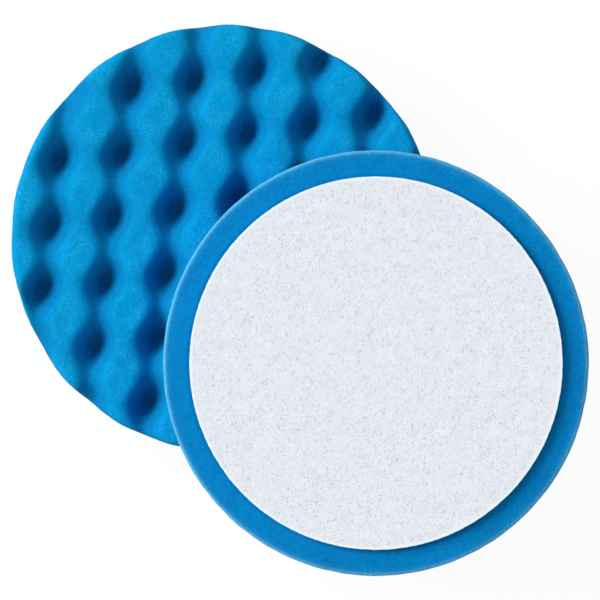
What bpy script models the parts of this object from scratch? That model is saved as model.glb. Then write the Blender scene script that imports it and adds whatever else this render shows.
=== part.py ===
"""A pair of waffle-faced foam polishing pads for a rotary polisher.

Each pad is a round disc of convoluted foam with a loop cloth disc on its flat back.
The lower pad lies on its loop cloth, with the waffle face up. The upper pad lies face
down on it, off to one side, so that its loop cloth is on top. The peaks of the two
waffle faces meet, and the upper pad lifts off along +Z.

Origin: the centre of the lower pad's loop face, which the pair stands on. +Z is up,
along both pads' spin axes. Lengths are in metres.
"""

import math

import bmesh
import bpy
from mathutils import Vector

INCH = 0.0254

# Overall sizes of one pad
PAD_DIAMETER = 8 * INCH
PAD_THICKNESS = 1.5 * INCH  # from the loop face to the tips of the waffle peaks
BACKING_DIAMETER = 7 * INCH  # to suit a 7 inch hook-faced backing plate

# The layers of the backing, from the loop face inwards
LOOP_CLOTH_THICKNESS = 0.0015
STIFFENER_THICKNESS = 0.0006
GLUE_FILM_THICKNESS = 0.0003
GLUE_FILM_INSET = 0.0006  # how far the film stays inside the backing's cut edge
LAYER_GAP = 0.0003

# The waffle: rows and columns of peaks that cross at a slant, in plan
WAFFLE_DEPTH = 0.018
ROW_PITCH = 0.03025
ROW_ANGLE = math.radians(8.0)
COLUMN_PITCH = 0.0311
COLUMN_ANGLE = math.radians(81.8)
HOME_PEAK = Vector((-0.0109, 0.0012))  # the peak nearest to the lower pad's centre
CROWN_POWER = 3.6  # 1 is a plain sine wave; more gives broad crowns and narrow pits
ROW_SHARE = 0.63  # how much of the rise and fall is along the rows: over half joins the peaks into ridges

# The cut edge of the foam
BACK_EDGE_RADIUS = 0.0018
FACE_EDGE_RADIUS = 0.006
FACE_EDGE_CLEAR = 0.0005  # how far above the peaks the die's rounded face edge ends

# How the pair lies
UPPER_CENTRE = Vector((0.0722, -0.0598))
SEAT_GAP = 0.0003

# Facets
ROUND_STEPS = 96
EDGE_STEPS = 3
FACETS_PER_PITCH = 6  # an even number, so that each pit has a facet corner at its bottom
STOCK_MARGIN = 0.004  # how far the foam stock reaches past the die, on every side

BACKING_STACK = LOOP_CLOTH_THICKNESS + STIFFENER_THICKNESS + GLUE_FILM_THICKNESS + 3 * LAYER_GAP


def clear_scene():
    for obj in list(bpy.data.objects):
        bpy.data.objects.remove(obj, do_unlink=True)


def new_collection(name):
    collection = bpy.data.collections.new(name)
    bpy.context.scene.collection.children.link(collection)
    return collection


def make_material(name, colour, roughness):
    material = bpy.data.materials.new(name)
    material.use_nodes = True
    shader = material.node_tree.nodes["Principled BSDF"]
    shader.inputs["Base Color"].default_value = (*colour, 1.0)
    shader.inputs["Roughness"].default_value = roughness
    shader.inputs["Metallic"].default_value = 0.0
    return material


def move_to(obj, collection):
    for old in list(obj.users_collection):
        old.objects.unlink(obj)
    collection.objects.link(obj)


def shade(mesh):
    mesh.shade_smooth()
    mesh.set_sharp_from_angle(angle=math.radians(40))


def direction(angle):
    return Vector((math.cos(angle), math.sin(angle)))


def waffle_height(rows, columns):
    """Height of the waffle above the loop face, so many pitches along the rows and columns from a peak."""
    wave = ROW_SHARE * math.cos(math.tau * rows) + (1 - ROW_SHARE) * math.cos(math.tau * columns)
    return PAD_THICKNESS - WAFFLE_DEPTH * ((1 - wave) / 2) ** CROWN_POWER


def convoluted_stock(name, frame, cutters):
    """A slab of foam stock with the waffle up, cornered so that its facets follow the waffle.

    The waffle is one pattern for the whole pair, in plan, so each peak of a pad that is
    turned over stands on a peak of the other.
    """
    row = ROW_PITCH * direction(ROW_ANGLE)
    column = COLUMN_PITCH * direction(COLUMN_ANGLE)
    cell_area = row.cross(column)
    to_centre = frame.matrix_world.translation.xy - HOME_PEAK
    home_row = round(to_centre.cross(column) / cell_area)
    home_column = round(row.cross(to_centre) / cell_area)
    narrow_pitch = cell_area / max(ROW_PITCH, COLUMN_PITCH)
    pitches = math.ceil((PAD_DIAMETER / 2 + STOCK_MARGIN) / narrow_pitch + 0.5)

    form = bmesh.new()
    segments = 2 * pitches * FACETS_PER_PITCH
    bmesh.ops.create_grid(form, x_segments=segments, y_segments=segments, size=pitches)
    to_pad = frame.matrix_world.inverted()
    for vert in form.verts:
        rows, columns = vert.co.xy
        plan = HOME_PEAK + (home_row + rows) * row + (home_column + columns) * column
        vert.co.xy = (to_pad @ plan.to_3d()).xy
        vert.co.z = waffle_height(rows, columns)

    rim = [edge for edge in form.edges if edge.is_boundary]
    walls = bmesh.ops.extrude_edge_only(form, edges=rim)["geom"]
    for vert in walls:
        if isinstance(vert, bmesh.types.BMVert):
            vert.co.z = BACKING_STACK - STOCK_MARGIN
    underside = [edge for edge in walls if isinstance(edge, bmesh.types.BMEdge)]
    bmesh.ops.contextual_create(form, geom=underside)
    bmesh.ops.recalc_face_normals(form, faces=form.faces[:])

    mesh = bpy.data.meshes.new(name)
    form.to_mesh(mesh)
    form.free()
    shade(mesh)
    stock = bpy.data.objects.new(name, mesh)
    stock.parent = frame
    stock.hide_render = True
    stock.display_type = "WIRE"
    cutters.objects.link(stock)
    return stock


def edge_arc(centre_x, centre_z, radius, start, end):
    """Points round an edge's profile, between two angles in degrees from +X towards +Z."""
    turn = (end - start) / EDGE_STEPS
    angles = [math.radians(start + turn * step) for step in range(EDGE_STEPS + 1)]
    return [(centre_x + radius * math.cos(a), centre_z + radius * math.sin(a)) for a in angles]


def die_profile():
    """Half the outline of what the round die cuts, from the axis at the top to the axis below."""
    rim = PAD_DIAMETER / 2
    top = PAD_THICKNESS + FACE_EDGE_CLEAR
    face_edge = edge_arc(rim - FACE_EDGE_RADIUS, top - FACE_EDGE_RADIUS, FACE_EDGE_RADIUS, 90, 0)
    back_height = BACKING_STACK + BACK_EDGE_RADIUS
    back_edge = edge_arc(rim - BACK_EDGE_RADIUS, back_height, BACK_EDGE_RADIUS, 0, -90)
    return [(0.0, top), *face_edge, *back_edge, (0.0, BACKING_STACK)]


def foam_disc(name, material, frame, parts, cutters):
    """The foam: a turned disc, the die's inside, that keeps only what the stock fills."""
    profile = die_profile()
    mesh = bpy.data.meshes.new(name)
    edges = [(i, i + 1) for i in range(len(profile) - 1)]
    mesh.from_pydata([(x, 0.0, z) for x, z in profile], edges, [])
    foam = bpy.data.objects.new(name, mesh)
    foam.parent = frame
    parts.objects.link(foam)
    mesh.materials.append(material)

    screw = foam.modifiers.new("Round die", "SCREW")
    screw.axis = "Z"
    screw.steps = screw.render_steps = ROUND_STEPS
    screw.use_merge_vertices = True
    screw.merge_threshold = 0.00001
    screw.use_smooth_shade = True

    keep = foam.modifiers.new("Convoluted stock", "BOOLEAN")
    keep.operation = "INTERSECT"
    keep.solver = "EXACT"
    keep.object = convoluted_stock(name + "_stock", frame, cutters)
    return foam


def backing_layer(name, bottom, thickness, diameter, material, frame, parts):
    """One die-cut disc of the backing, with its lower face at this height in the pad."""
    bpy.ops.mesh.primitive_cylinder_add(
        vertices=ROUND_STEPS, radius=diameter / 2, depth=thickness
    )
    disc = bpy.context.object
    disc.name = name
    disc.data.name = name
    disc.location = (0.0, 0.0, bottom + thickness / 2)
    disc.parent = frame
    move_to(disc, parts)
    disc.data.materials.append(material)
    shade(disc.data)
    return disc


def build_pad(prefix, frame, materials, parts, cutters):
    """One pad in its own frame: the loop face at z = 0, the waffle face towards +Z."""
    stiffener_at = LOOP_CLOTH_THICKNESS + LAYER_GAP
    film_at = stiffener_at + STIFFENER_THICKNESS + LAYER_GAP
    film_diameter = BACKING_DIAMETER - 2 * GLUE_FILM_INSET
    layers = [
        ("loop_cloth", 0.0, LOOP_CLOTH_THICKNESS, BACKING_DIAMETER),
        ("stiffener", stiffener_at, STIFFENER_THICKNESS, BACKING_DIAMETER),
        ("glue_film", film_at, GLUE_FILM_THICKNESS, film_diameter),
    ]
    for kind, bottom, thickness, diameter in layers:
        name = f"{prefix}_{kind}"
        backing_layer(name, bottom, thickness, diameter, materials[kind], frame, parts)
    foam_disc(f"{prefix}_foam", materials["foam"], frame, parts, cutters)


def pad_frame(name, centre, height, turned_over, parts):
    """An empty at the centre of a pad's loop face. A pad that is turned over has its face down."""
    frame = bpy.data.objects.new(name, None)
    frame.location = (*centre, height)
    frame.rotation_euler.x = math.pi if turned_over else 0.0
    parts.objects.link(frame)
    return frame


def main():
    clear_scene()
    parts = new_collection("polishing_pad_pair")
    cutters = new_collection("cutters")
    materials = {
        "foam": make_material("blue_foam", (0.0, 0.21, 0.53), 0.95),
        "loop_cloth": make_material("white_loop_cloth", (0.76, 0.78, 0.84), 0.9),
        "stiffener": make_material("white_stiffener", (0.80, 0.82, 0.85), 0.6),
        "glue_film": make_material("clear_glue_film", (0.62, 0.72, 0.80), 0.35),
    }
    upper_height = 2 * PAD_THICKNESS + SEAT_GAP
    lower = pad_frame("lower_pad", Vector((0.0, 0.0)), 0.0, False, parts)
    upper = pad_frame("upper_pad", UPPER_CENTRE, upper_height, True, parts)
    bpy.context.view_layer.update()
    build_pad("lower", lower, materials, parts, cutters)
    build_pad("upper", upper, materials, parts, cutters)


main()
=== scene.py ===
"""Looks for a pair of waffle-faced foam polishing pads, one face up and one lying face down on it."""

import math

import bpy
import numpy as np
from mathutils import Matrix, Vector, noise


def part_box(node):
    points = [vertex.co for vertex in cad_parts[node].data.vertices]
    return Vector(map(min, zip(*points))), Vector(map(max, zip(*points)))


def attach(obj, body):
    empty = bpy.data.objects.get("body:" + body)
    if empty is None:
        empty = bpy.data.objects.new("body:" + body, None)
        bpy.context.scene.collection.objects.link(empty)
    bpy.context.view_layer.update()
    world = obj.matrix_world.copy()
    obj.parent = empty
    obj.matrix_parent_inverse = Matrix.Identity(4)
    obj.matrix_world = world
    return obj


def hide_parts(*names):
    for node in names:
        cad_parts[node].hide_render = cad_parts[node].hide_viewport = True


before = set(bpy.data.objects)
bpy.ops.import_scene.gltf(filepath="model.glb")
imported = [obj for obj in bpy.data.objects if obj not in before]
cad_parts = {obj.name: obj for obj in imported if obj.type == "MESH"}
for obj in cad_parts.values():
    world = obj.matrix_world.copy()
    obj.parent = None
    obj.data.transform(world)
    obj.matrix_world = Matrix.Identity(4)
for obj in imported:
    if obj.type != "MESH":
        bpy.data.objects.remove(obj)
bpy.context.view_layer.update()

MM = 0.001
QUARTER = math.pi / 2

# The waffle, as in part.py: rows and columns of peaks that cross at a slant, in plan
WAFFLE_DEPTH = 18.0 * MM
ROW_PITCH = 30.25 * MM
ROW_ANGLE = math.radians(8.0)
COLUMN_PITCH = 31.1 * MM
COLUMN_ANGLE = math.radians(81.8)
HOME_PEAK = np.array((-10.9, 1.2)) * MM
CROWN_POWER = 3.6
ROW_SHARE = 0.63

# The foam's own irregularity
WANDER = 1.0 * MM  # how far the cut peaks stray from an even pattern
WANDER_SPAN = 55 * MM
LUMPS = ((0.22 * MM, 7 * MM), (0.10 * MM, 2.4 * MM))  # height and width of the lumps
NOISE_GAIN = 1.6  # brings Blender's noise to about -1 to 1

# The foam's cut edges
FACE_EDGE = 3.2 * MM  # rounding at the face
BACK_EDGE = 1.3 * MM  # rounding at the back
FLARE = {"lower": 0.55 * MM, "upper": -0.45 * MM}  # how far the face's edge stands out past the back's
SCALLOP = 0.45 * MM  # how much further out the crowns stand than the pits
EDGE_ONLY = 10  # the higher, the nearer to the edge flare and scallop begin
WAIST = 0.5 * MM  # how far the side is drawn in between face and back

# The foam's back: rings around the bonded disc, by how far out from the disc's edge they are
RIM_STEPS = tuple(step * MM for step in (10.5, 8.5, 6.5, 4.5, 2.6, 1.0))  # the bare rim
GROOVE_STEPS = (0.55 * MM, 0.0)  # the bottom of a groove that the bonding presses in
BOND_STEP = -1.5 * MM  # where the foam meets the film, out of sight
GROOVE_DEPTH = 0.45 * MM
RIM_FALL = 0.9 * MM  # how far the bare rim slopes down, away from the disc

# Where the foam's colours change
EDGE_BLEND = 0.35  # share of the change from face to side that is on the face's rounding
EDGE_BLEND_FROM = 0.4  # and how far round it that starts
SIDE_BLEND = 0.12  # share of the side that the rest of the change takes
LIP_WIDTH = 3.2 * MM  # the painted highlight along the back's edge reaches this far in
LIP_REACH = 7.0 * MM  # and this far down the side
LIP_FULL = 0.52 * MM  # and is at its strongest down to here

# Colours, as linear light
FOAM_CROWN_PAINTED_LIGHT = (0.001, 0.30, 0.63, 1)  # painted highlight: the crowns paler than the slopes, for the light their tips catch
FOAM_SLOPE = (0.001, 0.21, 0.48, 1)
# painted shade: the pits a touch darker than the slopes
FOAM_PIT_PAINTED_SHADE = (0.001, 0.20, 0.47, 1)
FOAM_PLAIN = (0.0012, 0.213, 0.545, 1)  # the side and the back, which have no painted light by depth
FOAM_EDGE_HIGHLIGHT = (0.110, 0.460, 0.740, 1)  # painted highlight along the back's cut edge, where its fuzz catches the light
# worn fuzz on the crowns, and painted glints of the open cells
FOAM_FUZZ_AND_GLINT = (0.018, 0.500, 0.820, 1)
FOAM_SHEEN = (0.02, 0.70, 1.0, 1)
CLOTH = (0.790, 0.820, 0.880, 1)
FIBRE = (0.830, 0.855, 0.905, 1)
# the pressed margin along the backing's cut edge, paler for a painted highlight too
PRESSED_EDGE_AND_HIGHLIGHT = (0.820, 0.940, 0.975, 1)
SHEET = (0.860, 0.880, 0.910, 1)
FILM = (0.550, 0.660, 0.780, 1)

# Grain, by how wide it is
FOAM_PORES = 0.7 * MM
FOAM_FUZZ = 1.3 * MM
FOAM_MOTTLE = 1.6 * MM
FOAM_CLOUDS = 22 * MM
FLECKS = 0.9 * MM
FLECK_PATCHES = 9 * MM
FLECK_CROWN = 0.05  # how far down from a crown's tip the worn fuzz and painted glints are seen
SLOPE_FROM = 0.15  # and how far down the crowns' painted highlight has given way to the slope's colour
CLOTH_FUZZ = 0.6 * MM
CLOTH_LOOPS = 0.9 * MM
CLOTH_CURLS = 1.1 * MM
CLOTH_PATCHES = 6 * MM
FILM_STREAKS = 4 * MM

# Mesh density
FACE_RINGS = 120
EDGE_RINGS = 6
SIDE_RINGS = 26
BACK_EDGE_RINGS = 4
CLOTH_RINGS = 120
SHEET_RINGS = 48
SHOULDER_RINGS = 5

# The backing
NAP_HEIGHT = 0.20 * MM
SHOULDER = 0.15 * MM  # rounding of a disc's outer edge
CUT_BEVEL = 0.10 * MM  # and of its inner edge
CLOTH_RAGGED = 0.10 * MM
SHEET_RAGGED = 0.06 * MM
RAGGED_SPAN = 1.6 * MM
CLOTH_RELIEF = ((0.055 * MM, 1.7 * MM), (0.05 * MM, 5.0 * MM))  # height and width of the lumps
SHEET_RELIEF = ((0.03 * MM, 3 * MM),)
EDGE_BAND = 1.3 * MM  # how wide the pressed margin along a cut edge is, which is also painted paler as a highlight
BAND_FADE = 0.4  # share of its width over which it fades in
BAND_PRESSED = 0.7  # share of the relief that is pressed out of it
SEAM = 0.05 * MM

# The strands of the nap
STRANDS = 6500
STRAND_STATIONS = 5
STRAND_CORNERS = 3
STRAND_LENGTH = (0.9 * MM, 2.4 * MM)
STRAND_RADIUS = (0.04 * MM, 0.08 * MM)
STRAND_RISE = (0.05, 0.50)  # how proud of the cloth they lie, as a share of the nap's height
STRAND_ROOT = 0.08 * MM  # how deep in the cloth their ends are
STRAND_BEND = 0.75  # usual bend, in radians
STRAND_DRIFT = 9 * MM  # width of the patches in which they head the same way
STRAND_STRAY = 0.9  # how far they usually stray from that, in radians
STRAND_WIDE = 1.5  # the section is wider than its radius says
STRAND_HIGH = 0.45  # and lower
STRAND_LEAN = 0.3  # how far the light sees their sides lean

# The camera
CAMERA_HEIGHT = 8.0
CAMERA_SHIFT = Vector((-0.15 * MM, 0.2 * MM))
CAMERA_CLIP = (0.1, 50)
FRAME_WIDTH = 285.93 * MM  # at the upper pad's foam back
SENSOR = 36.0

# The light, at which a flat white surface is as bright as it is written
KEY_AZIMUTH = math.radians(157)
KEY_ELEVATION = math.radians(33)
KEY_SIZE = math.radians(34)
KEY_SHARE = 0.53

# The floor
FLOOR_SIZE = 40
FLOOR_GREY = (0.8, 0.8, 0.8, 1)  # as the object sees it
SHADOW_PART = 0.06  # share of the floor's white that a full shadow takes away
OPEN_PART = 0.96  # what the open floor gets of the plain light, at the least


# ---- Pads and their frames

def pad(prefix):
    """What the CAD says of one pad, in its own frame: the loop face at z = 0, the waffle at +Z."""
    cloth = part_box(prefix + "_loop_cloth")
    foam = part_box(prefix + "_foam")
    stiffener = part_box(prefix + "_stiffener")
    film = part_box(prefix + "_glue_film")
    turned = foam[0].z < cloth[0].z
    centre = (cloth[0] + cloth[1]) / 2
    centre.z = cloth[1].z if turned else cloth[0].z
    to_world = Matrix.Translation(centre) @ Matrix.Rotation(math.pi if turned else 0.0, 4, "X")

    def heights(box):
        return sorted(abs(corner.z - centre.z) for corner in box)

    return {
        "prefix": prefix,
        "body": prefix + "_pad",
        "to_world": to_world,
        "radius": (foam[1].x - foam[0].x) / 2,
        "backing_radius": (cloth[1].x - cloth[0].x) / 2,
        "cloth": heights(cloth),
        "stiffener": heights(stiffener),
        "film": heights(film),
        "foam": heights(foam),
    }


def place(piece, owner, cad_node):
    piece.matrix_world = owner["to_world"]
    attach(piece, owner["body"])
    if cad_node:
        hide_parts(owner["prefix"] + "_" + cad_node)
    return piece


# ---- Round skins

def round_skin(face_rings, rim_rings):
    """Ring number and angle of each point of a closed round skin, and its faces.

    The face is an even disc whose ring k has 6 k points. Rim rings go on round the side
    and under, and a fan closes the back.
    """
    ring, angle, faces = [0], [0.0], []
    previous = 0
    for k in range(1, face_rings + 1):
        first, count, inner = len(ring), 6 * k, max(6 * (k - 1), 1)
        ring += [k] * count
        angle += [math.tau * i / count for i in range(count)]
        for sector in range(6):
            for j in range(k):
                a = first + sector * k + j
                b = first + (sector * k + j + 1) % count
                c = previous + (sector * (k - 1) + j) % inner
                faces.append((a, b, c))
                if j < k - 1:
                    d = previous + (sector * (k - 1) + j + 1) % inner
                    faces.append((c, b, d))
        previous = first
    count = 6 * face_rings
    for k in range(face_rings + 1, face_rings + rim_rings + 1):
        first = len(ring)
        ring += [k] * count
        angle += [math.tau * i / count for i in range(count)]
        for i in range(count):
            j = (i + 1) % count
            faces.append((previous + i, first + i, first + j, previous + j))
        previous = first
    middle = len(ring)
    ring.append(face_rings + rim_rings + 1)
    angle.append(0.0)
    faces += [(previous + i, middle, previous + (i + 1) % count) for i in range(count)]
    return np.array(ring), np.array(angle), faces


def new_mesh(name, points, faces, material, **attributes):
    mesh = bpy.data.meshes.new(name)
    mesh.from_pydata(points.tolist(), [], faces)
    mesh.validate()
    mesh.shade_smooth()
    mesh.materials.append(material)
    for key, values in attributes.items():
        layer = mesh.attributes.new(key, "FLOAT", "POINT")
        layer.data.foreach_set("value", np.asarray(values, np.float32))
    piece = bpy.data.objects.new(name, mesh)
    bpy.context.scene.collection.objects.link(piece)
    return piece


def wobble(points, span, seed=0.0):
    """Smooth noise from about -1 to 1 at each point, with lumps about as wide as span."""
    shift = Vector((seed, 2.3 * seed, -1.7 * seed))
    return np.array([noise.noise(Vector(p) / span + shift) for p in points.tolist()]) * NOISE_GAIN


def roughen(piece, lumps, seed, keep):
    """Moves the points in along their normals by noise, as much of it as keep says."""
    mesh = piece.data
    points = np.empty(len(mesh.vertices) * 3)
    normals = np.empty(len(mesh.vertices) * 3, np.float32)
    mesh.vertices.foreach_get("co", points)
    mesh.vertex_normals.foreach_get("vector", normals)
    points, normals = points.reshape(-1, 3), normals.reshape(-1, 3)
    depth = sum(height * (wobble(points, span, seed + i) - 1) / 2 for i, (height, span) in enumerate(lumps))
    mesh.vertices.foreach_set("co", (points + normals * (depth * keep)[:, None]).ravel())
    mesh.update()


def in_plan(plan, angle):
    return np.c_[plan * np.cos(angle), plan * np.sin(angle)]


def smoothstep(low, high, value):
    share = np.clip((value - low) / (high - low), 0, 1)
    return share * share * (3 - 2 * share)


# ---- The foam

def waffle(world_plan):
    """How far from the crowns each point of the waffle is, evenly, and how far down a pit: both 0 to 1."""
    flat = np.c_[world_plan, np.zeros(len(world_plan))]
    strayed = world_plan + WANDER * np.c_[wobble(flat, WANDER_SPAN, 3.0), wobble(flat, WANDER_SPAN, 8.0)]
    row = ROW_PITCH * np.array((math.cos(ROW_ANGLE), math.sin(ROW_ANGLE)))
    column = COLUMN_PITCH * np.array((math.cos(COLUMN_ANGLE), math.sin(COLUMN_ANGLE)))
    rows, columns = np.linalg.solve(np.c_[row, column], (strayed - HOME_PEAK).T)
    wave = ROW_SHARE * np.cos(math.tau * rows) + (1 - ROW_SHARE) * np.cos(math.tau * columns)
    away = (1 - wave) / 2
    return away, away**CROWN_POWER


def foam_piece(owner, material):
    """The foam as one skin: waffle face, rounded and scalloped edge, side, and flat back."""
    radius, disc = owner["radius"], owner["backing_radius"]
    back, tip = owner["foam"]
    back_steps = RIM_STEPS + GROOVE_STEPS + (BOND_STEP,)
    side_ring = FACE_RINGS + EDGE_RINGS
    under_ring = side_ring + SIDE_RINGS
    back_ring = under_ring + BACK_EDGE_RINGS
    ring, angle, faces = round_skin(FACE_RINGS, back_ring - FACE_RINGS + len(back_steps))

    # how far each point is along each stretch of the outline, and which ring of the back it is on
    edge = np.clip(ring - FACE_RINGS, 0, EDGE_RINGS) / EDGE_RINGS
    side = np.clip(ring - side_ring, 0, SIDE_RINGS) / SIDE_RINGS
    under = np.clip(ring - under_ring, 0, BACK_EDGE_RINGS) / BACK_EDGE_RINGS
    inward = np.clip(ring - back_ring, 0, len(back_steps) + 1)

    plan = (radius - FACE_EDGE) * np.minimum(ring / FACE_RINGS, 1) + FACE_EDGE * np.sin(edge * QUARTER)
    matrix = np.array(owner["to_world"])
    away, pit = waffle(in_plan(plan, angle) @ matrix[:2, :2].T + matrix[:2, 3])
    top = tip - WAFFLE_DEPTH * pit - FACE_EDGE * (1 - np.cos(edge * QUARTER))
    height = top + side * (back + BACK_EDGE - top)
    height = height - BACK_EDGE * np.sin(under * QUARTER)

    stands_out = smoothstep(1.0, 0.0, side) * (plan / radius) ** EDGE_ONLY
    flare = FLARE[owner["prefix"]] + SCALLOP * (1 - 2 * away)
    plan = plan + flare * stands_out - WAIST * np.sin(math.pi * side)
    plan = plan - BACK_EDGE * (1 - np.cos(under * QUARTER))
    plan = np.select([inward == i + 1 for i in range(len(back_steps))], [disc + g for g in back_steps], plan)
    plan = np.where(inward > len(back_steps), 0.0, plan)
    height = height + RIM_FALL * side * np.clip((plan - disc) / (radius - disc), 0, 1)
    height = np.where(inward > len(RIM_STEPS), back + GROOVE_DEPTH, height)
    height = np.where(inward > len(RIM_STEPS + GROOVE_STEPS), owner["film"][1] + SEAM, height)

    plain = EDGE_BLEND * smoothstep(EDGE_BLEND_FROM, 1.0, edge)
    plain = plain + (1 - EDGE_BLEND) * smoothstep(0.0, SIDE_BLEND, side)
    rim = back + RIM_FALL
    # where the painted highlight along the back's cut edge lies
    lip = smoothstep(radius - LIP_WIDTH, radius, plan) ** 2
    lip = lip * smoothstep(rim + LIP_REACH, rim + LIP_FULL, height)

    points = np.c_[in_plan(plan, angle), height]
    piece = new_mesh(owner["prefix"] + "_foam_disc", points, faces, material, pit=pit, plain=plain, lip=lip)
    roughen(piece, LUMPS, seed=5.0, keep=inward <= len(RIM_STEPS))
    place(piece, owner, "foam")
    return piece


# ---- The backing

def flat_disc(name, low, high, radius, rings, material, ragged, relief):
    """A cut disc of cloth or sheet between two heights, its rounded outer face at the lower one."""
    ring, angle, faces = round_skin(rings, SHOULDER_RINGS + 3)
    edge = np.clip(ring - rings, 0, SHOULDER_RINGS) / SHOULDER_RINGS
    after = ring - rings - SHOULDER_RINGS
    plan = (radius - SHOULDER) * np.minimum(ring / rings, 1) + SHOULDER * np.sin(edge * QUARTER)
    plan = np.select([after == 2, after == 3, after == 4], [radius - CUT_BEVEL, radius / 2, 0.0], plan)
    top = high - SHOULDER * (1 - np.cos(edge * QUARTER))
    height = np.select([after >= 2, after == 1], [low, low + CUT_BEVEL], top)
    cut = np.c_[in_plan(radius, angle), np.zeros(len(angle))]
    plan = plan + ragged * wobble(cut, RAGGED_SPAN, 2.0) * (plan > 0.9 * radius)
    # the pressed margin, which also carries a painted highlight
    rim = np.clip((plan - (radius - EDGE_BAND)) / (BAND_FADE * EDGE_BAND), 0, 1)
    piece = new_mesh(name, np.c_[in_plan(plan, angle), height], faces, material, edge=rim)
    roughen(piece, relief, seed=1.0, keep=(after < 1) * (1 - BAND_PRESSED * rim))
    turn_over(piece.data, low + high)
    return piece


def turn_over(mesh, height_sum):
    """Mirrors a mesh in height, and keeps its faces pointing out."""
    mesh.transform(Matrix.Translation((0, 0, height_sum)) @ Matrix.Diagonal((1, 1, -1, 1)))
    mesh.flip_normals()


def cloth_piece(owner, material):
    piece = flat_disc(
        owner["prefix"] + "_loop_fabric", owner["cloth"][0] + NAP_HEIGHT, owner["stiffener"][0] - SEAM,
        owner["backing_radius"], CLOTH_RINGS, material, CLOTH_RAGGED, CLOTH_RELIEF,
    )
    return place(piece, owner, "loop_cloth")


def stiffener_piece(owner, material):
    piece = flat_disc(
        owner["prefix"] + "_stiffener_sheet", owner["stiffener"][0], owner["film"][0] - SEAM,
        owner["backing_radius"], SHEET_RINGS, material, SHEET_RAGGED, SHEET_RELIEF,
    )
    return place(piece, owner, "stiffener")


def strand_paths(reach):
    """Each strand's middle, heading, length, bend, rise and radius."""
    random = np.random.default_rng(11)
    spread = np.sqrt(random.random(STRANDS)) * reach
    around = random.random(STRANDS) * math.tau
    middle = np.c_[in_plan(spread, around), np.zeros(STRANDS)]
    heading = math.tau * wobble(middle, STRAND_DRIFT, 4.0) + random.normal(0, STRAND_STRAY, STRANDS)
    length = random.uniform(*STRAND_LENGTH, STRANDS)
    bend = random.normal(0, STRAND_BEND, STRANDS)
    rise = random.uniform(*STRAND_RISE, STRANDS) * NAP_HEIGHT
    thick = random.uniform(*STRAND_RADIUS, STRANDS)
    return middle, heading, length, bend, rise, thick


def strand_faces():
    """The triangles of one strand: a tip, a ring of corners at each station between, and a tip."""
    last_tip = 1 + STRAND_CORNERS * (STRAND_STATIONS - 2)
    last_ring = last_tip - STRAND_CORNERS
    triangles = []
    for corner in range(STRAND_CORNERS):
        after = (corner + 1) % STRAND_CORNERS
        triangles.append((0, 1 + after, 1 + corner))
        for first in range(1, last_ring, STRAND_CORNERS):
            a, b = first + corner, first + after
            c, d = a + STRAND_CORNERS, b + STRAND_CORNERS
            triangles += [(a, b, c), (b, d, c)]
        triangles.append((last_ring + corner, last_ring + after, last_tip))
    return np.array(triangles)


def nap_piece(owner, material):
    """Thousands of short curled strands of the loop cloth's nap, lying just proud of it."""
    middle, heading, length, bend, rise, thick = strand_paths(owner["backing_radius"] - EDGE_BAND)
    points, leans = [], []
    for t in np.linspace(-1, 1, STRAND_STATIONS):
        tip = abs(t) == 1
        turn = heading + bend * t
        along = length * t / 2
        side = length * bend * t * t / 4
        x = middle[:, 0] + along * np.cos(heading) - side * np.sin(heading)
        y = middle[:, 1] + along * np.sin(heading) + side * np.cos(heading)
        z = NAP_HEIGHT + STRAND_ROOT - (rise + STRAND_ROOT) * (1 - t * t)
        across = np.c_[-np.sin(turn), np.cos(turn)]
        for corner in range(1 if tip else STRAND_CORNERS):
            swing = math.tau * corner / STRAND_CORNERS
            aside = 0.0 if tip else math.cos(swing)
            above = 0.0 if tip else math.sin(swing)
            out = STRAND_WIDE * aside * thick[:, None] * across
            points.append(np.c_[np.c_[x, y] + out, z + STRAND_HIGH * above * thick])
            leans.append(np.c_[STRAND_LEAN * aside * across, -np.ones(STRANDS)])
    cloud = np.stack(points, axis=1).reshape(-1, 3)
    cloud[:, 2] = np.maximum(cloud[:, 2], owner["cloth"][0])
    starts = np.arange(STRANDS)[:, None, None] * len(points)
    faces = (starts + strand_faces()[None]).reshape(-1, 3)
    piece = new_mesh(owner["prefix"] + "_loop_nap", cloud, faces.tolist(), material)

    # strands this thin take the light as the cloth below them does, and hardly as round bars
    leaning = np.stack(leans, axis=1).reshape(-1, 3)
    leaning /= np.linalg.norm(leaning, axis=1)[:, None]
    piece.data.normals_split_custom_set_from_vertices(leaning.tolist())
    return place(piece, owner, None)


# ---- Materials

def node(tree, kind, inputs=None, **settings):
    made = tree.nodes.new(kind)
    for key, value in settings.items():
        setattr(made, key, value)
    for key, value in (inputs or {}).items():
        if isinstance(value, bpy.types.NodeSocket):
            tree.links.new(value, made.inputs[key])
        else:
            made.inputs[key].default_value = value
    return made


def principled(name, **values):
    material = bpy.data.materials.new(name)
    material.use_nodes = True
    tree = material.node_tree
    shader = tree.nodes["Principled BSDF"]
    for key, value in values.items():
        shader.inputs[key.replace("_", " ")].default_value = value
    coords = node(tree, "ShaderNodeTexCoord").outputs["Object"]
    return material, tree, shader, coords


def scaled(tree, value, low, high, to_low, to_high):
    """A number that goes from to_low to to_high as value goes from low to high."""
    return node(
        tree, "ShaderNodeMapRange",
        {"Value": value, "From Min": low, "From Max": high, "To Min": to_low, "To Max": to_high},
    ).outputs["Result"]


def math_node(tree, operation, a, b):
    return node(tree, "ShaderNodeMath", {0: a, 1: b}, operation=operation).outputs[0]


def colour_mix(tree, factor, a, b, blend="MIX"):
    """Mixes two colours. The Mix node's colour sockets are its seventh and eighth."""
    made = node(tree, "ShaderNodeMix", {0: factor}, data_type="RGBA", blend_type=blend)
    for index, value in ((6, a), (7, b)):
        if isinstance(value, bpy.types.NodeSocket):
            tree.links.new(value, made.inputs[index])
        else:
            made.inputs[index].default_value = value
    return made.outputs[2]


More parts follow.
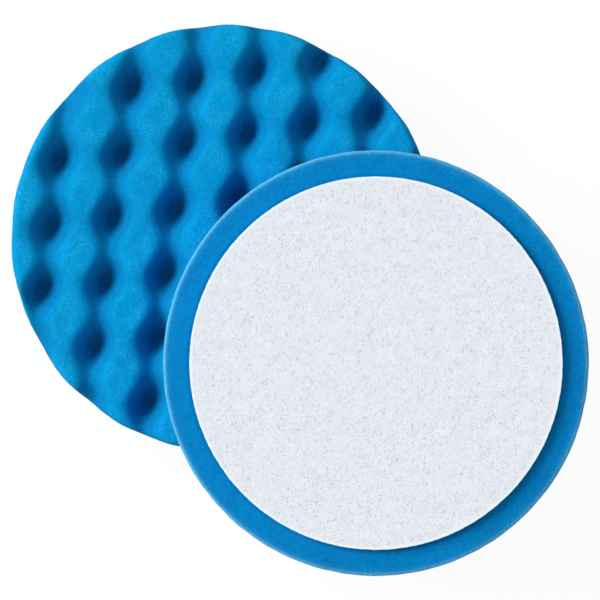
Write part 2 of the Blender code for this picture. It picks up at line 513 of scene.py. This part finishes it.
def ramp(tree, value, stops):
    """The colour that the stops give at a number from 0 to 1."""
    made = node(tree, "ShaderNodeValToRGB", {"Fac": value})
    elements = made.color_ramp.elements
    while len(elements) < len(stops):
        elements.new(1.0)
    for element, (position, colour) in zip(elements, stops):
        element.position = position
        element.color = colour
    return made.outputs["Color"]


def shaded(tree, colour, by):
    """A colour made lighter or darker by a factor."""
    grey = node(tree, "ShaderNodeCombineColor", {"Red": by, "Green": by, "Blue": by}).outputs[0]
    return colour_mix(tree, 1.0, colour, grey, "MULTIPLY")


def noise_value(tree, coords, width, detail=2.0, distortion=0.0):
    """Cloudy noise with lumps about this wide."""
    return node(
        tree, "ShaderNodeTexNoise",
        {"Vector": coords, "Scale": 1 / width, "Detail": detail, "Distortion": distortion},
    ).outputs["Fac"]


def cells(tree, coords, width):
    """The distance to the middle of the nearest of many cells about this wide."""
    return node(tree, "ShaderNodeTexVoronoi", {"Vector": coords, "Scale": 1 / width}).outputs["Distance"]


def varied(tree, value, low, high):
    """A factor that goes from low to high over the usual range of Blender's noise."""
    return scaled(tree, value, 0.3, 0.7, low, high)


def attribute(tree, name):
    return node(tree, "ShaderNodeAttribute", attribute_name=name).outputs["Fac"]


def bumped(tree, shader, relief, strength, depth):
    bump = node(tree, "ShaderNodeBump", {"Strength": strength, "Distance": depth, "Height": relief})
    tree.links.new(bump.outputs[0], shader.inputs["Normal"])


def foam_material():
    material, tree, shader, coords = principled(
        "open_cell_foam", Roughness=0.95, Sheen_Weight=0.06, Sheen_Roughness=0.45,
        Sheen_Tint=FOAM_SHEEN, Specular_IOR_Level=0.05,
    )
    pit, plain, lip = (attribute(tree, name) for name in ("pit", "plain", "lip"))
    pores = cells(tree, coords, FOAM_PORES)
    # painted light by depth: crowns paler, pits a touch darker
    painted_depth_light = ramp(tree, pit, ((0.0, FOAM_CROWN_PAINTED_LIGHT), (SLOPE_FROM, FOAM_SLOPE), (1.0, FOAM_PIT_PAINTED_SHADE)))
    colour = colour_mix(tree, plain, painted_depth_light, FOAM_PLAIN)
    # painted highlight along the back's cut edge
    colour = colour_mix(tree, lip, colour, FOAM_EDGE_HIGHLIGHT)
    colour = shaded(tree, colour, varied(tree, noise_value(tree, coords, FOAM_CLOUDS), 0.94, 1.06))
    colour = shaded(tree, colour, varied(tree, noise_value(tree, coords, FOAM_MOTTLE, 3.0), 0.90, 1.10))
    colour = shaded(tree, colour, scaled(tree, pores, 0.05, 0.6, 0.84, 1.05))

    # pale flecks on the crowns, in patches: worn fuzz, and painted glints of the open cells
    patches = scaled(tree, noise_value(tree, coords, FLECK_PATCHES, 1.0), 0.42, 0.62, 0.0, 1.0)
    on_crown = scaled(tree, pit, 0.0, FLECK_CROWN, 1.0, 0.0)
    on_crown = math_node(tree, "MULTIPLY", on_crown, math_node(tree, "SUBTRACT", 1.0, plain))
    dots = scaled(tree, noise_value(tree, coords, FLECKS, 1.0, 0.6), 0.48, 0.66, 0.0, 0.60)
    fuzz_and_glints = math_node(tree, "MULTIPLY", math_node(tree, "MULTIPLY", patches, on_crown), dots)
    colour = colour_mix(tree, fuzz_and_glints, colour, FOAM_FUZZ_AND_GLINT)
    tree.links.new(colour, shader.inputs["Base Color"])

    relief = math_node(tree, "ADD", pores, noise_value(tree, coords, FOAM_FUZZ, 2.0))
    bumped(tree, shader, relief, 0.45, 0.30 * MM)
    return material


def cloth_material(name, colour, contrast):
    material, tree, shader, coords = principled(
        name, Roughness=0.88, Sheen_Weight=0.18, Sheen_Roughness=0.5, Specular_IOR_Level=0.25
    )
    curls = noise_value(tree, coords, CLOTH_CURLS, 3.0, 0.8)
    patches = noise_value(tree, coords, CLOTH_PATCHES)
    mixed = shaded(tree, colour, varied(tree, curls, 1 - contrast, 1 + contrast))
    mixed = shaded(tree, mixed, varied(tree, patches, 0.965, 1.03))
    # the pressed margin along the cut edge, with a painted highlight
    mixed = colour_mix(tree, attribute(tree, "edge"), mixed, PRESSED_EDGE_AND_HIGHLIGHT)
    tree.links.new(mixed, shader.inputs["Base Color"])
    fuzz = noise_value(tree, coords, CLOTH_FUZZ, 2.0, 1.0)
    relief = math_node(tree, "ADD", fuzz, cells(tree, coords, CLOTH_LOOPS))
    bumped(tree, shader, relief, 0.24, 0.20 * MM)
    return material


def film_material():
    material, tree, shader, coords = principled("heat_bond_film", Roughness=0.35, Specular_IOR_Level=0.4)
    colour = shaded(tree, FILM, varied(tree, noise_value(tree, coords, FILM_STREAKS), 0.85, 1.05))
    tree.links.new(colour, shader.inputs["Base Color"])
    return material


# ---- Stage

def floor():
    """A white floor that camera rays see at full white, but for the object's soft shadow."""
    bpy.ops.mesh.primitive_plane_add(size=FLOOR_SIZE)
    plane = bpy.context.object
    plane.name = "floor"
    plane.visible_diffuse = False  # so that the face that lies on it is lit, to be looked at from below
    material = bpy.data.materials.new("floor_white")
    material.use_nodes = True
    tree = material.node_tree
    tree.nodes.clear()
    plain = node(tree, "ShaderNodeBsdfDiffuse", {"Color": FLOOR_GREY})
    caught = node(tree, "ShaderNodeBsdfDiffuse", {"Color": (SHADOW_PART, SHADOW_PART, SHADOW_PART, 1)})
    lift = node(tree, "ShaderNodeEmission", {"Color": (1, 1, 1, 1), "Strength": 1 - OPEN_PART * SHADOW_PART})
    seen = node(tree, "ShaderNodeAddShader", {0: caught.outputs[0], 1: lift.outputs[0]})
    path = node(tree, "ShaderNodeLightPath")
    mixed = node(
        tree, "ShaderNodeMixShader",
        {0: path.outputs["Is Camera Ray"], 1: plain.outputs[0], 2: seen.outputs[0]},
    )
    behind = node(tree, "ShaderNodeNewGeometry").outputs["Backfacing"]
    clear = node(tree, "ShaderNodeBsdfTransparent")
    sided = node(tree, "ShaderNodeMixShader", {0: behind, 1: mixed.outputs[0], 2: clear.outputs[0]})
    out = node(tree, "ShaderNodeOutputMaterial")
    tree.links.new(sided.outputs[0], out.inputs["Surface"])
    plane.data.materials.append(material)


def light():
    """A soft key from the left and an even fill, which together light a flat surface plainly."""
    key = bpy.data.lights.new("key", "SUN")
    key.energy = KEY_SHARE * math.pi / math.sin(KEY_ELEVATION)
    key.angle = KEY_SIZE
    lamp = bpy.data.objects.new("key", key)
    towards = Vector((
        math.cos(KEY_AZIMUTH) * math.cos(KEY_ELEVATION),
        math.sin(KEY_AZIMUTH) * math.cos(KEY_ELEVATION),
        math.sin(KEY_ELEVATION),
    ))
    lamp.rotation_euler = towards.to_track_quat("Z", "Y").to_euler()
    bpy.context.scene.collection.objects.link(lamp)

    world = bpy.data.worlds.new("studio")
    bpy.context.scene.world = world
    world.use_nodes = True
    tree = world.node_tree
    fill = tree.nodes["Background"]
    fill.inputs["Color"].default_value = (1, 1, 1, 1)
    fill.inputs["Strength"].default_value = 1 - KEY_SHARE
    white = node(tree, "ShaderNodeBackground", {"Color": (1, 1, 1, 1), "Strength": 1.0})
    path = node(tree, "ShaderNodeLightPath")
    shown = math_node(tree, "MAXIMUM", path.outputs["Is Camera Ray"], path.outputs["Is Glossy Ray"])
    shown = math_node(tree, "MAXIMUM", shown, path.outputs["Is Transmission Ray"])
    mixed = node(tree, "ShaderNodeMixShader", {0: shown, 1: fill.outputs[0], 2: white.outputs[0]})
    tree.links.new(mixed.outputs[0], tree.nodes["World Output"].inputs["Surface"])


def camera(lower, upper):
    """Straight down on both pads, as far off as makes them look the same size."""
    lens = bpy.data.cameras.new("camera")
    seen = bpy.data.objects.new("camera", lens)
    bpy.context.scene.collection.objects.link(seen)
    middle = (lower["to_world"].translation + upper["to_world"].translation) / 2
    rim = upper["to_world"].translation.z - upper["foam"][0]
    seen.location = (middle.x + CAMERA_SHIFT.x, middle.y + CAMERA_SHIFT.y, rim + CAMERA_HEIGHT)
    lens.sensor_width = SENSOR
    lens.lens = SENSOR * CAMERA_HEIGHT / FRAME_WIDTH
    lens.clip_start, lens.clip_end = CAMERA_CLIP
    bpy.context.scene.camera = seen


def main():
    bpy.context.scene.view_settings.view_transform = "Standard"
    lower, upper = pad("lower"), pad("upper")
    foam = foam_material()
    cloth = cloth_material("loop_cloth", CLOTH, 0.055)
    fibre = cloth_material("loop_fibre", FIBRE, 0.04)
    sheet = cloth_material("pressed_sheet", SHEET, 0.03)
    film = film_material()
    for owner in (lower, upper):
        foam_piece(owner, foam)
        stiff = stiffener_piece(owner, sheet)
        fabric = cloth_piece(owner, cloth)
        nap = nap_piece(owner, fibre)
        film_node = owner["prefix"] + "_glue_film"
        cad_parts[film_node].data.materials[0] = film
    floor()
    light()
    camera(lower, upper)


main()
